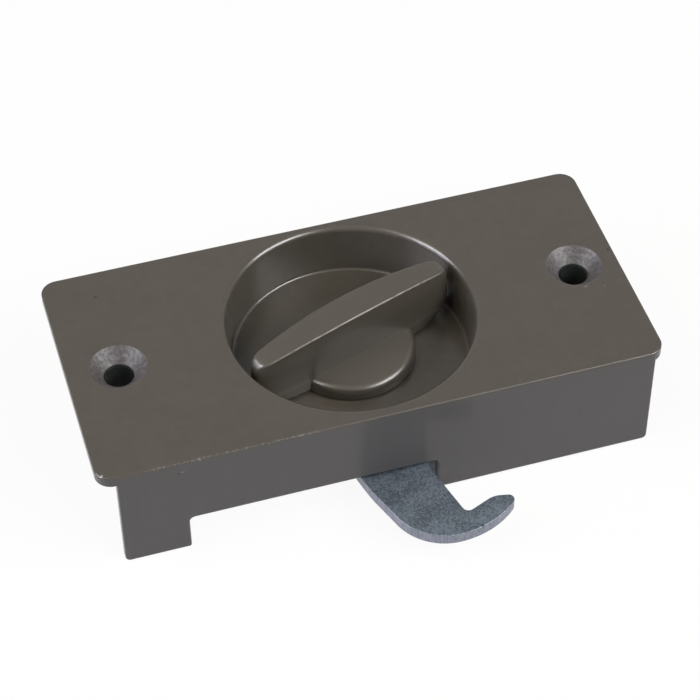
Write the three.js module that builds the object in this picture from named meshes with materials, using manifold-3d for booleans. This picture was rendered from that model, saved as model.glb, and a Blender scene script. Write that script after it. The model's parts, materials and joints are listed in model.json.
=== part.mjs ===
// Flush sliding screen door latch: a die-cast case with a round finger recess, a thumb turn in the
// recess, and a stamped hook on the turn's spindle that swings out through a notch in the front wall.
// Millimetres. X runs along the face plate, Y to the back, Z out of the face. The pieces are drawn
// about the spindle axis, from the underside of the plate, with the hook thrown as it latches. The
// whole latch then stands on the open edges of its walls, centred on the origin.

import * as THREE from 'three';
import { mergeVertices } from 'three/addons/utils/BufferGeometryUtils.js';
import Module from 'manifold-3d';

const wasm = await Module();
wasm.setup();

// Face plate. Its centre lies a little off the spindle axis.
const plateLength = 101.6;
const plateWidth = 48.4;
const plateThick = 2;
const plateOffsetX = -0.56;
const plateOffsetY = -0.44;
const plateCorner = 3;
const plateEdge = 0.45;

// Round recess and the cup under the plate that holds it.
const recessDepth = 10;
const recessTopRadius = 22.4;
const recessWallLean = 0.9;
const rimFillet = 0.8;
const floorFillet = 1;
const cupWall = 1.2;
const cupFloor = 2;
const cupFillet = 0.8;

// Raised ring on the recess floor that the thumb turn runs on, and the bearing boss under the cup.
const seatRadius = 9.5;
const seatHeight = 0.3;
const bearingRadius = 7;
const bearingDepth = 2.6;

// Front wall, a hair behind the long edge of the plate, and its notch that the hook swings through.
const wallInset = 0.1;
const wallDepth = 20.7;
const wallThick = 2;
const wallLeft = 48.1;
const wallRight = 48.5;
const wallCorner = 0.9;
const notchLeft = 36.25;
const notchRight = 8.7;
const notchDrop = 13.1;
const notchCorner = 0.4;
const notchFillet = 1;

// Back wall, set in a little from the edge of the plate and the ends of the front wall.
const backInset = 0.8;
const backThick = 2;
const backLeft = 46;
const backRight = 46;

// Screw holes, countersunk in the plate, their bosses, and the ribs that tie them to the cup.
const holeSpacing = 84.3;
const holeRadius = 2.65;
const sinkRadius = 5.05;
const holeBossRadius = 5.3;
const holeBossDepth = 12.6;
const ribThick = 1.8;
const ribDepth = 8;

// Two posts under the cup stop the hook's tail at each end of its swing.
const postRadius = 1.6;
const postRing = 11;
const postPastHook = 0.5;

// Thumb turn: a crowned blade, lens shaped from above, across a round hub. The blade grows towards
// its foot by the draft, and flares into the top of the hub.
const bladeEndGap = 0.95;
const bladeHalfWidth = 2.95;
const bladeEndHalfWidth = 1.65;
const bladeEndCorner = 2.2;
const bladeTipHalfWidth = 0.25;
const bladeProud = 2.4;
const bladeCrown = 1.95;
const bladeTopCorner = 2.5;
const bladeFootCorner = 6.9;
const bladeTopEdge = 0.4;
const bladeFootEdge = 0.8;
const bladeFlare = 3.5;
const flareSink = 0.5;
const hubRadius = 11.65;
const hubThick = 2.6;
const hubFillet = 1.1;
const spindleRadius = 4;
const spindleSquare = 5.6;

// Hook, stamped from plate: hub, tail, bent arm, round heel and the beak that catches the keeper.
const hookThick = 2.4;
const hookNotchGap = 0.3;
const hookHubRadius = 8.5;
const tailReach = 12.4;
const tailHalfWidth = 3;
const tailRound = 0.7;
const armHalfWidth = 7;
const armBendRadius = 60;
const armBendStart = 10.5;
const armBendEnd = 28.5;
const armStepY = 26.2;
const armStepRadius = 2;
const heelX = 7.5;
const heelY = 31;
const heelRadius = 10.15;
const beakRadius = 16.2;
const tipX = 19.4;
const tipY = 35.55;
const tipRound = 1;
const shoulderX = 15.4;
const shoulderY = 34.7;
const shoulderRadius = 4;
const throatX = 9.75;
const throatY = 37;
const throatRadius = 1.1;

// Spring washer between the bearing boss and the hook, and the screw stack under the hook.
const waveThick = 0.3;
const waveHeight = 0.16;
const waveOuterRadius = 6.7;
const washerThick = 1;
const washerOuterRadius = 5.4;
const washerInnerRadius = 2.3;
const lockThick = 1.1;
const lockOuterRadius = 4.1;
const lockSlit = 0.9;
const screwHeadRadius = 3.9;
const screwHeadHeight = 2.2;
const screwHeadRound = 0.9;
const screwRadius = 1.7;
const screwReach = 5;
const screwHoleRadius = 2;
const screwHoleSpare = 0.8;
const driveWidth = 0.9;
const driveLength = 4.2;
const driveDepth = 1.3;

// Clearances between pieces, and the overrun of every cut.
const runningGap = 0.2;
const stackGap = 0.1;
const squareGap = 0.15;
const postGap = 0.3;
const overrun = 1;

// Turns about the spindle axis.
const bladeTurn = THREE.MathUtils.degToRad(19.5);
const bladeDraft = THREE.MathUtils.degToRad(4.3);
const flareTurn = THREE.MathUtils.degToRad(35);
const tailTurn = THREE.MathUtils.degToRad(100);
const swing = THREE.MathUtils.degToRad(90);
const beakTurn = THREE.MathUtils.degToRad(42);
const lockSlitTurn = THREE.MathUtils.degToRad(25);

// Steps round a full circle, by how large the circle is.
const coarseSteps = 24;
const middleSteps = 48;
const fineSteps = 96;
const filletSteps = 4;
const bladeSteps = 36;
const waveCount = 3;

// Places worked out from the sizes above. Heights count from the underside of the plate.
const recessFloorRadius = recessTopRadius - recessWallLean;
const bladeHalfLength = recessFloorRadius - bladeEndGap;
const recessFloor = plateThick - recessDepth;
const cupBottom = recessFloor - cupFloor;
const bearingFace = cupBottom - bearingDepth;
const hookTop = -notchDrop - hookNotchGap;
const hookBottom = hookTop - hookThick;
const washerTop = hookBottom - stackGap;
const lockTop = washerTop - washerThick - stackGap;
const headTop = lockTop - lockThick - stackGap;
const hubBottom = recessFloor + seatHeight + stackGap;
const hubTop = hubBottom + hubThick;
const bladeTop = plateThick + bladeProud;
const plateFront = plateOffsetY - plateWidth / 2;
const plateBack = plateOffsetY + plateWidth / 2;
const halfSpacing = holeSpacing / 2;

// A closed geometry as a solid. Only positions count, shared corners are merged, collapsed triangles
// go, and the faces are turned to point out whichever way the profile was drawn.
function solidOf(geometry) {
  const bare = geometry.clone();
  bare.deleteAttribute('normal');
  bare.deleteAttribute('uv');
  const { index, attributes: { position } } = mergeVertices(bare);
  const corner = (i) => new THREE.Vector3().fromBufferAttribute(position, i);
  const kept = [];
  let volume = 0;
  for (let i = 0; i < index.count; i += 3) {
    const [a, b, c] = [index.getX(i), index.getX(i + 1), index.getX(i + 2)];
    if (a === b || b === c || c === a) continue;
    kept.push(a, b, c);
    volume += corner(a).dot(corner(b).cross(corner(c)));
  }
  if (volume < 0) kept.reverse();
  const vertProperties = new Float32Array(position.array);
  const triVerts = new Uint32Array(kept);
  return new wasm.Manifold(new wasm.Mesh({ numProp: 3, vertProperties, triVerts }));
}

function geometryOf(solid) {
  const mesh = solid.getMesh();
  const geometry = new THREE.BufferGeometry();
  geometry.setAttribute('position', new THREE.BufferAttribute(new Float32Array(mesh.vertProperties), 3));
  geometry.setIndex(new THREE.BufferAttribute(new Uint32Array(mesh.triVerts), 1));
  geometry.computeVertexNormals();
  return geometry;
}

// An upright cylinder between two heights.
function upright(radius, low, high, steps, x = 0, y = 0) {
  const geometry = new THREE.CylinderGeometry(radius, radius, high - low, steps);
  geometry.rotateX(Math.PI / 2);
  geometry.translate(x, y, (low + high) / 2);
  return solidOf(geometry);
}

function block(x0, x1, y0, y1, z0, z1) {
  const geometry = new THREE.BoxGeometry(x1 - x0, y1 - y0, z1 - z0);
  geometry.translate((x0 + x1) / 2, (y0 + y1) / 2, (z0 + z1) / 2);
  return solidOf(geometry);
}

// A profile of [radius, height] pairs turned about the Z axis.
function revolved(profile, steps) {
  const geometry = new THREE.LatheGeometry(profile.map(([r, z]) => new THREE.Vector2(r, z)), steps);
  geometry.rotateX(Math.PI / 2);
  return geometry;
}

function ring(inner, outer, low, high, steps) {
  return revolved([[inner, low], [outer, low], [outer, high], [inner, high], [inner, low]], steps);
}

// Points of an arc, ends included, from one angle to another.
function arc(x, y, radius, from, to, steps = filletSteps) {
  return Array.from({ length: steps + 1 }, (_, i) => {
    const angle = from + ((to - from) * i) / steps;
    return [x + radius * Math.cos(angle), y + radius * Math.sin(angle)];
  });
}

// A polygon whose corners, given as [x, y, radius], are rounded.
function roundedShape(corners) {
  const points = corners.flatMap(([x, y, radius = 0], i) => {
    const corner = new THREE.Vector2(x, y);
    if (radius === 0) return [corner];
    const before = new THREE.Vector2(...corners.at(i - 1)).sub(corner).normalize();
    const after = new THREE.Vector2(...corners[(i + 1) % corners.length]).sub(corner).normalize();
    const half = Math.acos(before.dot(after)) / 2;
    const middle = before.clone().add(after).normalize();
    const centre = middle.multiplyScalar(radius / Math.sin(half)).add(corner);
    const start = before.clone().multiplyScalar(radius / Math.tan(half)).add(corner).sub(centre);
    const end = after.clone().multiplyScalar(radius / Math.tan(half)).add(corner).sub(centre);
    const turn = Math.atan2(start.cross(end), start.dot(end));
    return arc(centre.x, centre.y, radius, start.angle(), start.angle() + turn)
      .map(([px, py]) => new THREE.Vector2(px, py));
  });
  return new THREE.Shape(points);
}

function extruded(shape, depth) {
  return new THREE.ExtrudeGeometry(shape, { depth, bevelEnabled: false });
}

// A shape drawn in X and Z, made thick along Y from one face to another.
function wallSolid(shape, y0, y1) {
  const geometry = extruded(shape, y1 - y0);
  geometry.rotateX(Math.PI / 2);
  geometry.translate(0, y1, 0);
  return solidOf(geometry);
}

// The plate, its top edges rounded: the lower rounding of the bevelled block is cut away.
function plateSolid() {
  const halfX = plateLength / 2 - plateEdge;
  const halfY = plateWidth / 2 - plateEdge;
  const corner = plateCorner - plateEdge;
  const outline = roundedShape([
    [-halfX, -halfY, corner], [halfX, -halfY, corner], [halfX, halfY, corner], [-halfX, halfY, corner],
  ]);
  const geometry = new THREE.ExtrudeGeometry(outline, {
    depth: plateThick, bevelThickness: plateEdge, bevelSize: plateEdge, bevelSegments: filletSteps,
  });
  geometry.translate(plateOffsetX, plateOffsetY, -plateEdge);
  const reach = plateLength + overrun;
  return solidOf(geometry).subtract(block(-reach, reach, -reach, reach, -plateThick, 0));
}

function recessCutter() {
  const topTurn = plateThick - rimFillet;
  const profile = [
    [0, recessFloor],
    ...arc(recessFloorRadius - floorFillet, recessFloor + floorFillet, floorFillet, -Math.PI / 2, 0),
    ...arc(recessTopRadius + rimFillet, topTurn, rimFillet, Math.PI, Math.PI / 2),
    [recessTopRadius + rimFillet, plateThick + overrun],
    [0, plateThick + overrun],
  ];
  return solidOf(revolved(profile, fineSteps));
}

function cupSolid() {
  const radius = recessTopRadius + cupWall;
  const profile = [
    [0, cupBottom],
    ...arc(radius - cupFillet, cupBottom + cupFillet, cupFillet, -Math.PI / 2, 0),
    [radius, plateThick / 2],
    [0, plateThick / 2],
  ];
  return solidOf(revolved(profile, fineSteps));
}

function frontWall() {
  const top = plateThick / 2;
  return wallSolid(roundedShape([
    [-wallLeft, top], [-wallLeft, -wallDepth, wallCorner],
    [-notchLeft, -wallDepth, notchCorner], [-notchLeft, -notchDrop, notchFillet],
    [notchRight, -notchDrop, notchFillet], [notchRight, -wallDepth, notchCorner],
    [wallRight, -wallDepth, wallCorner], [wallRight, top],
  ]), plateFront + wallInset, plateFront + wallInset + wallThick);
}

function backWall() {
  const top = plateThick / 2;
  return wallSolid(roundedShape([
    [-backLeft, top], [-backLeft, -wallDepth, wallCorner],
    [backRight, -wallDepth, wallCorner], [backRight, top],
  ]), plateBack - backInset - backThick, plateBack - backInset);
}

// Turn from the tail's centre line to a post that its side would touch, but for the gap.
const postLead = Math.asin((tailHalfWidth + postRadius + postGap) / postRing);

function stopPosts() {
  return [tailTurn + postLead, tailTurn - swing - postLead].map((angle) => upright(
    postRadius, hookBottom - postPastHook, cupBottom + overrun, coarseSteps,
    postRing * Math.cos(angle), postRing * Math.sin(angle),
  ));
}

function screwBoss(side) {
  const top = plateThick / 2;
  const boss = upright(holeBossRadius, -holeBossDepth, top, middleSteps, side * halfSpacing);
  const cupSide = recessTopRadius + cupWall / 2;
  const [near, far] = [side * cupSide, side * halfSpacing].sort((a, b) => a - b);
  return boss.add(block(near, far, -ribThick / 2, ribThick / 2, -ribDepth, top));
}

function screwHole(side) {
  const sinkDepth = sinkRadius - holeRadius;
  const profile = [
    [0, -holeBossDepth - overrun], [holeRadius, -holeBossDepth - overrun],
    [holeRadius, plateThick - sinkDepth], [sinkRadius + overrun, plateThick + overrun],
    [0, plateThick + overrun],
  ];
  const geometry = revolved(profile, middleSteps);
  geometry.translate(side * halfSpacing, 0, 0);
  return solidOf(geometry);
}

function caseGeometry() {
  let body = plateSolid().add(cupSolid()).add(frontWall()).add(backWall());
  body = body.add(upright(bearingRadius, bearingFace, cupBottom + overrun, middleSteps));
  for (const piece of [...stopPosts(), screwBoss(-1), screwBoss(1)]) body = body.add(piece);
  body = body.subtract(recessCutter());
  body = body.add(upright(seatRadius, recessFloor - overrun, recessFloor + seatHeight, middleSteps));
  body = body.subtract(
    upright(spindleRadius + runningGap, bearingFace - overrun, recessFloor + 2 * overrun, middleSteps),
  );
  return geometryOf(body.subtract(screwHole(-1)).subtract(screwHole(1)));
}

// A skin over rings of equal length, closed at both ends.
function lofted(rings) {
  const count = rings[0].length;
  const last = (rings.length - 1) * count;
  const index = [];
  for (let ring = 0; ring < last; ring += count) {
    for (let i = 0; i < count; i += 1) {
      const [a, b] = [ring + i, ring + ((i + 1) % count)];
      index.push(a, b, b + count, a, b + count, a + count);
    }
  }
  for (let i = 1; i < count - 1; i += 1) index.push(0, i + 1, i, last, last + i, last + i + 1);
  const geometry = new THREE.BufferGeometry();
  geometry.setAttribute('position', new THREE.Float32BufferAttribute(rings.flat(2), 3));
  geometry.setIndex(index);
  return geometry;
}

// How far a shallow arch has dropped from its top at a place along it.
function archDrop(along, halfSpan, rise) {
  const radius = (halfSpan ** 2 + rise ** 2) / (2 * rise);
  return radius - Math.sqrt(radius ** 2 - along ** 2);
}

// How far a rounded corner at the blade's end has come in at a place along the blade.
function cornerDrop(along, reach, depth = reach) {
  const into = Math.max(0, Math.abs(along) - bladeHalfLength + reach);
  return depth * (1 - Math.sqrt(Math.max(0, 1 - (into / reach) ** 2)));
}

// One section across the blade: foot edge, flare where the hub carries it, flank and top edge.
function bladeRing(along) {
  const slope = Math.tan(bladeDraft);
  const bulge = bladeHalfWidth - bladeEndHalfWidth;
  const top = bladeTop - archDrop(along, bladeHalfLength, bladeCrown) - cornerDrop(along, bladeTopCorner);
  const foot = hubBottom + cornerDrop(along, bladeFootCorner);
  const endDrop = cornerDrop(along, bladeEndCorner, bladeEndHalfWidth - bladeTipHalfWidth);
  const topHalf = bladeHalfWidth - archDrop(along, bladeHalfLength, bulge) - endDrop;
  const halfAt = (height) => topHalf + slope * (bladeTop - height);
  const topEdge = Math.min(bladeTopEdge, topHalf);
  const footEdge = Math.min(bladeFootEdge, topHalf);
  const base = Math.max(hubTop, foot + footEdge);
  const hubHalf = Math.sqrt(Math.max(0, (hubRadius - hubFillet) ** 2 - along ** 2));
  const room = Math.max(0, hubHalf - halfAt(base));
  const flare = Math.min(bladeFlare, room / (1 - Math.cos(flareTurn)));
  const flareTop = base + flare * Math.sin(flareTurn);
  const sunk = base - Math.min(flareSink, flare);
  const flareArc = arc(
    halfAt(flareTop) + flare, flareTop, flare, -Math.PI + flareTurn, -Math.PI, filletSteps + 1,
  );
  const side = [
    ...arc(halfAt(foot) - footEdge, foot + footEdge, footEdge, -Math.PI / 2, 0),
    [halfAt(sunk), sunk], [flareArc[0][0], sunk],
    ...flareArc,
    ...arc(halfAt(top) - topEdge, top - topEdge, topEdge, 0, Math.PI / 2),
  ];
  const mirrored = side.map(([across, height]) => [-across, height]).reverse();
  return [...side, ...mirrored].map(([across, height]) => [
    along * (1 + (slope * (bladeTop - height)) / bladeHalfLength), across, height,
  ]);
}

function bladeSolid() {
  const flatHalf = bladeHalfLength - bladeFootCorner;
  const ends = Array.from({ length: 2 * filletSteps }, (_, i) => {
    const turn = ((i + 1) / (2 * filletSteps)) * (Math.PI / 2);
    return flatHalf + bladeFootCorner * Math.sin(turn);
  });
  const middle = Array.from({ length: bladeSteps + 1 }, (_, i) => flatHalf * ((2 * i) / bladeSteps - 1));
  const places = [...ends.map((place) => -place).reverse(), ...middle, ...ends];
  return solidOf(lofted(places.map(bladeRing)));
}

function thumbTurnGeometry() {
  const hub = solidOf(revolved([
    [0, hubBottom], [hubRadius, hubBottom],
    ...arc(hubRadius - hubFillet, hubTop - hubFillet, hubFillet, 0, Math.PI / 2),
    [0, hubTop],
  ], fineSteps));
  const shoulder = hookTop + stackGap;
  const half = spindleSquare / 2;
  let turn = hub.add(bladeSolid());
  turn = turn.add(upright(spindleRadius, shoulder, hubBottom + hubThick / 2, middleSteps));
  turn = turn.add(block(-half, half, -half, half, hookBottom + stackGap, shoulder + overrun));
  const holeEnd = hookBottom + screwReach + screwHoleSpare;
  const hole = upright(screwHoleRadius, hookBottom - overrun, holeEnd, coarseSteps);
  const geometry = geometryOf(turn.subtract(hole));
  geometry.rotateZ(bladeTurn);
  return geometry;
}

// Outline of the hook: round the hub and tail, down the bent arm, round the heel and back by the beak.
function hookShape() {
  const armMeet = Math.acos(armHalfWidth / hookHubRadius);
  const tailMeet = Math.asin(tailHalfWidth / hookHubRadius);
  const hub = (from, to) => arc(0, 0, hookHubRadius, from, to, coarseSteps / 2);
  const tailCorner = (across) => {
    const [cos, sin] = [Math.cos(tailTurn), Math.sin(tailTurn)];
    return [tailReach * cos - across * sin, tailReach * sin + across * cos, tailRound];
  };
  const bendEnd = Math.PI + Math.asin((armBendEnd - armBendStart) / armBendRadius);
  const heelEnd = (3 * Math.PI) / 2;
  const beakCentre = beakRadius - heelRadius - heelY;
  return roundedShape([
    ...hub(-armMeet, tailTurn - tailMeet),
    tailCorner(-tailHalfWidth), tailCorner(tailHalfWidth),
    ...hub(tailTurn + tailMeet, Math.PI + armMeet),
    ...arc(armBendRadius - armHalfWidth, -armBendStart, armBendRadius, Math.PI, bendEnd),
    ...arc(heelX, -heelY, heelRadius, bendEnd, heelEnd, coarseSteps / 2),
    ...arc(heelX, beakCentre, beakRadius, heelEnd, heelEnd + beakTurn, coarseSteps / 2).slice(1),
    [tipX, -tipY, tipRound],
    [shoulderX, -shoulderY, shoulderRadius],
    [throatX, -throatY, throatRadius],
    [armHalfWidth, -armStepY, armStepRadius],
  ]);
}

function hookGeometry() {
  const geometry = extruded(hookShape(), hookThick);
  geometry.translate(0, 0, hookBottom);
  const half = spindleSquare / 2 + squareGap;
  const square = new THREE.BoxGeometry(2 * half, 2 * half, hookThick + 2 * overrun);
  square.rotateZ(bladeTurn);
  square.translate(0, 0, (hookTop + hookBottom) / 2);
  return geometryOf(solidOf(geometry).subtract(solidOf(square)));
}

function waveWasherGeometry() {
  const middle = (bearingFace + hookTop) / 2;
  const [bottom, top] = [middle - waveThick / 2, middle + waveThick / 2];
  const geometry = ring(spindleRadius + runningGap, waveOuterRadius, bottom, top, middleSteps);
  const position = geometry.attributes.position;
  for (let i = 0; i < position.count; i += 1) {
    const angle = Math.atan2(position.getY(i), position.getX(i));
    position.setZ(i, position.getZ(i) + waveHeight * Math.sin(waveCount * angle));
  }
  return geometryOf(solidOf(geometry));
}

function flatWasherGeometry() {
  const bottom = washerTop - washerThick;
  return geometryOf(solidOf(ring(washerInnerRadius, washerOuterRadius, bottom, washerTop, middleSteps)));
}

function lockWasherGeometry() {
  const bottom = lockTop - lockThick;
  const body = solidOf(ring(washerInnerRadius, lockOuterRadius, bottom, lockTop, middleSteps));
  const slit = new THREE.BoxGeometry(2 * lockOuterRadius, lockSlit, lockThick + 2 * overrun);
  slit.rotateX(lockSlitTurn);
  slit.translate(lockOuterRadius, 0, (bottom + lockTop) / 2);
  return geometryOf(body.subtract(solidOf(slit)));
}

function screwGeometry() {
  const headBottom = headTop - screwHeadHeight;
  const roundTop = headBottom + screwHeadRound;
  const body = solidOf(revolved([
    [0, headBottom],
    ...arc(screwHeadRadius - screwHeadRound, roundTop, screwHeadRound, -Math.PI / 2, 0),
    [screwHeadRadius, headTop], [screwRadius, headTop],
    [screwRadius, hookBottom + screwReach], [0, hookBottom + screwReach],
  ], coarseSteps));
  const [long, wide] = [driveLength / 2, driveWidth / 2];
  const drive = block(-long, long, -wide, wide, headBottom - overrun, headBottom + driveDepth)
    .add(block(-wide, wide, -long, long, headBottom - overrun, headBottom + driveDepth));
  return geometryOf(body.subtract(drive));
}

function piece(name, geometry, material) {
  const mesh = new THREE.Mesh(geometry, material);
  mesh.name = name;
  return mesh;
}

const bronzePaint = new THREE.MeshStandardMaterial({ color: '#5d5852', roughness: 0.45, metalness: 0.1 });
const turnPaint = new THREE.MeshStandardMaterial({ color: '#5a554e', roughness: 0.4, metalness: 0.1 });
const zincPlate = new THREE.MeshStandardMaterial({ color: '#8f979e', roughness: 0.45, metalness: 0.9 });
const springSteel = new THREE.MeshStandardMaterial({ color: '#77797c', roughness: 0.35, metalness: 1 });

const latch = new THREE.Group();
const hookFront = -heelY - heelRadius;
latch.position.set(-plateOffsetX, -(plateBack + hookFront) / 2, wallDepth);
latch.add(
  piece('case', caseGeometry(), bronzePaint),
  piece('thumb_turn', thumbTurnGeometry(), turnPaint),
  piece('wave_washer', waveWasherGeometry(), springSteel),
  piece('hook', hookGeometry(), zincPlate),
  piece('flat_washer', flatWasherGeometry(), zincPlate),
  piece('lock_washer', lockWasherGeometry(), springSteel),
  piece('hook_screw', screwGeometry(), zincPlate),
);

export default latch;
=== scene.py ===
import json
import math
import bmesh
import bpy
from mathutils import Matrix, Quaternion, Vector

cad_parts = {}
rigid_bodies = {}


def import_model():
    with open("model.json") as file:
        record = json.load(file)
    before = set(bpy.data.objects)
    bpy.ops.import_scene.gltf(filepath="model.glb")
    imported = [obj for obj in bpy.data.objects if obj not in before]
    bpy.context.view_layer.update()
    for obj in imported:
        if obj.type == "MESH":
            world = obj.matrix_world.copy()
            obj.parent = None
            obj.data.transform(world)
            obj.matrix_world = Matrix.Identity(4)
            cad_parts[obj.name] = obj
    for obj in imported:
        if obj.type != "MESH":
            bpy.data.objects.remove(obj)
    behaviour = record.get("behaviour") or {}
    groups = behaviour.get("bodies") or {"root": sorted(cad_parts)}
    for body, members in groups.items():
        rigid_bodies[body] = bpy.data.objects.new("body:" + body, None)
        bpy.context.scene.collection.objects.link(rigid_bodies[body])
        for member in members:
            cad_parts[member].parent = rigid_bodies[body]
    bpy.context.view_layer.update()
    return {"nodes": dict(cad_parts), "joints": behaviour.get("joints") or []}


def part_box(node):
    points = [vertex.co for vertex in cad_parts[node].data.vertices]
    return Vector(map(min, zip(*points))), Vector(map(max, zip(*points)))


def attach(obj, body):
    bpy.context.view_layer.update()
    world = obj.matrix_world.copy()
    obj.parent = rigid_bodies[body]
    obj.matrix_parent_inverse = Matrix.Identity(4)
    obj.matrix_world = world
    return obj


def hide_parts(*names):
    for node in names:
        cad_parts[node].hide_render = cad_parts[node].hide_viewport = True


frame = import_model()
print("frame loaded")

mm = 0.001
turnBody = frame["joints"][0]["child"]
caseBody = frame["joints"][0]["parent"]
spindle = Vector(frame["joints"][0]["pos_m"])  # a point on the axis that the turn and hook swing about
caseLow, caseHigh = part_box("case")
turnLow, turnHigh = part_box("thumb_turn")
hookLow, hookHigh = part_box("hook")
plateTop = caseHigh.z
quarter = math.pi / 2


# Modelling steps, as a hand would do them in edit mode

def deselectAll():
    if bpy.context.object and bpy.context.object.mode != "OBJECT":
        bpy.ops.object.mode_set(mode="OBJECT")
    bpy.ops.object.select_all(action="DESELECT")


def activate(piece):
    deselectAll()
    piece.select_set(True)
    bpy.context.view_layer.objects.active = piece


def editMesh(piece, kind="EDGE"):
    activate(piece)
    bpy.ops.object.mode_set(mode="EDIT")
    bpy.ops.mesh.select_mode(type=kind)
    bpy.ops.mesh.select_all(action="DESELECT")


def pickEdges(piece, test):  # leaves edit mode on, with the edges selected whose two ends pass
    editMesh(piece, "EDGE")
    mesh = bmesh.from_edit_mesh(piece.data)
    for edge in mesh.edges:
        edge.select_set(test(edge.verts[0].co, edge.verts[1].co))
    bmesh.update_edit_mesh(piece.data)


def roundEdges(piece, test, radius, steps):
    pickEdges(piece, test)
    bpy.ops.mesh.bevel(offset=radius, segments=steps, affect="EDGES", clamp_overlap=False)
    bpy.ops.object.mode_set(mode="OBJECT")


def modify(piece, kind, **settings):
    activate(piece)
    modifier = piece.modifiers.new("step", kind)
    for name, value in settings.items():
        setattr(modifier, name, value)
    bpy.ops.object.modifier_apply(modifier=modifier.name)
    return piece


def combine(piece, other, operation):
    modify(piece, "BOOLEAN", object=other, operation=operation, solver="EXACT")
    bpy.data.objects.remove(other)
    return piece


def addBlock(name, low, high):
    deselectAll()
    low, high = Vector(low), Vector(high)
    bpy.ops.mesh.primitive_cube_add(size=1, location=(low + high) / 2, scale=high - low)
    piece = bpy.context.object
    piece.name = name
    bpy.ops.object.transform_apply(location=True, rotation=True, scale=True)
    return piece


def addPost(name, x, y, radius, low, high, steps):
    deselectAll()
    bpy.ops.mesh.primitive_cylinder_add(
        vertices=steps, radius=radius, depth=high - low, location=(x, y, (low + high) / 2))
    piece = bpy.context.object
    piece.name = name
    bpy.ops.object.transform_apply(location=True, rotation=True, scale=True)
    return piece


def arcPoints(x, y, radius, start, end, steps):
    return [(x + radius * math.cos(start + (end - start) * i / steps),
             y + radius * math.sin(start + (end - start) * i / steps)) for i in range(steps + 1)]


def roundedPath(corners, steps=6):  # (x, y) stays sharp, (x, y, radius) becomes an arc
    points = []
    for i, corner in enumerate(corners):
        place = Vector(corner[:2])
        if len(corner) == 2 or corner[2] == 0:
            points.append(tuple(place))
            continue
        before = (Vector(corners[i - 1][:2]) - place).normalized()
        after = (Vector(corners[(i + 1) % len(corners)][:2]) - place).normalized()
        half = before.angle(after) / 2
        centre = place + (before + after).normalized() * corner[2] / math.sin(half)
        start = place + before * corner[2] / math.tan(half) - centre
        end = place + after * corner[2] / math.tan(half) - centre
        turn = math.atan2(start.x * end.y - start.y * end.x, start.dot(end))
        first = math.atan2(start.y, start.x)
        points += arcPoints(centre.x, centre.y, corner[2], first, first + turn, steps)
    return points


def drawPath(name, points, closed):  # a line of points, each extruded from the last
    deselectAll()
    bpy.ops.mesh.primitive_plane_add(size=1 * mm)
    piece = bpy.context.object
    piece.name = name
    editMesh(piece, "VERT")
    bpy.ops.mesh.select_all(action="SELECT")
    bpy.ops.mesh.merge(type="CENTER")
    bpy.ops.transform.translate(value=points[0])
    for last, point in zip(points, points[1:]):
        step = Vector(point) - Vector(last)
        bpy.ops.mesh.extrude_vertices_move(TRANSFORM_OT_translate={"value": step})
    if closed:
        mesh = bmesh.from_edit_mesh(piece.data)
        for vertex in mesh.verts:
            vertex.select_set(len(vertex.link_edges) == 1)
        bmesh.update_edit_mesh(piece.data)
        bpy.ops.mesh.edge_face_add()
    return piece


def turnedPiece(name, profile, centre, steps, closed=False, angle=2 * math.pi):
    points = [(centre.x + radius, centre.y, height) for radius, height in profile]
    piece = drawPath(name, points, closed)
    bpy.ops.mesh.select_all(action="SELECT")
    bpy.ops.mesh.spin(steps=steps, angle=angle, center=(centre.x, centre.y, 0), axis=(0, 0, 1))
    bpy.ops.mesh.select_all(action="SELECT")
    bpy.ops.mesh.remove_doubles(threshold=0.001 * mm)
    bpy.ops.mesh.normals_make_consistent(inside=False)
    bpy.ops.object.mode_set(mode="OBJECT")
    return piece


def stampedPiece(name, outline, low, high):  # an outline in X and Y, extruded to a thickness
    piece = drawPath(name, [(x, y, low) for x, y in outline], closed=True)
    bpy.ops.mesh.select_all(action="SELECT")
    bpy.ops.mesh.edge_face_add()
    bpy.ops.mesh.extrude_region_move(TRANSFORM_OT_translate={"value": (0, 0, high - low)})
    bpy.ops.mesh.select_all(action="SELECT")
    bpy.ops.mesh.normals_make_consistent(inside=False)
    bpy.ops.object.mode_set(mode="OBJECT")
    return piece


def smoothPiece(piece, angle=30):
    activate(piece)
    bpy.ops.object.shade_smooth_by_angle(angle=math.radians(angle))
    modify(piece, "WEIGHTED_NORMAL", keep_sharp=True)


def placePiece(piece, name, body, slot, material, *nodes):
    activate(piece)
    piece.name = name
    bpy.ops.object.transform_apply(location=True, rotation=True, scale=True)
    piece.data.materials.clear()
    piece.data.materials.append(material)
    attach(piece, body)
    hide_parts(*nodes)


# Shader maths

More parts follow.
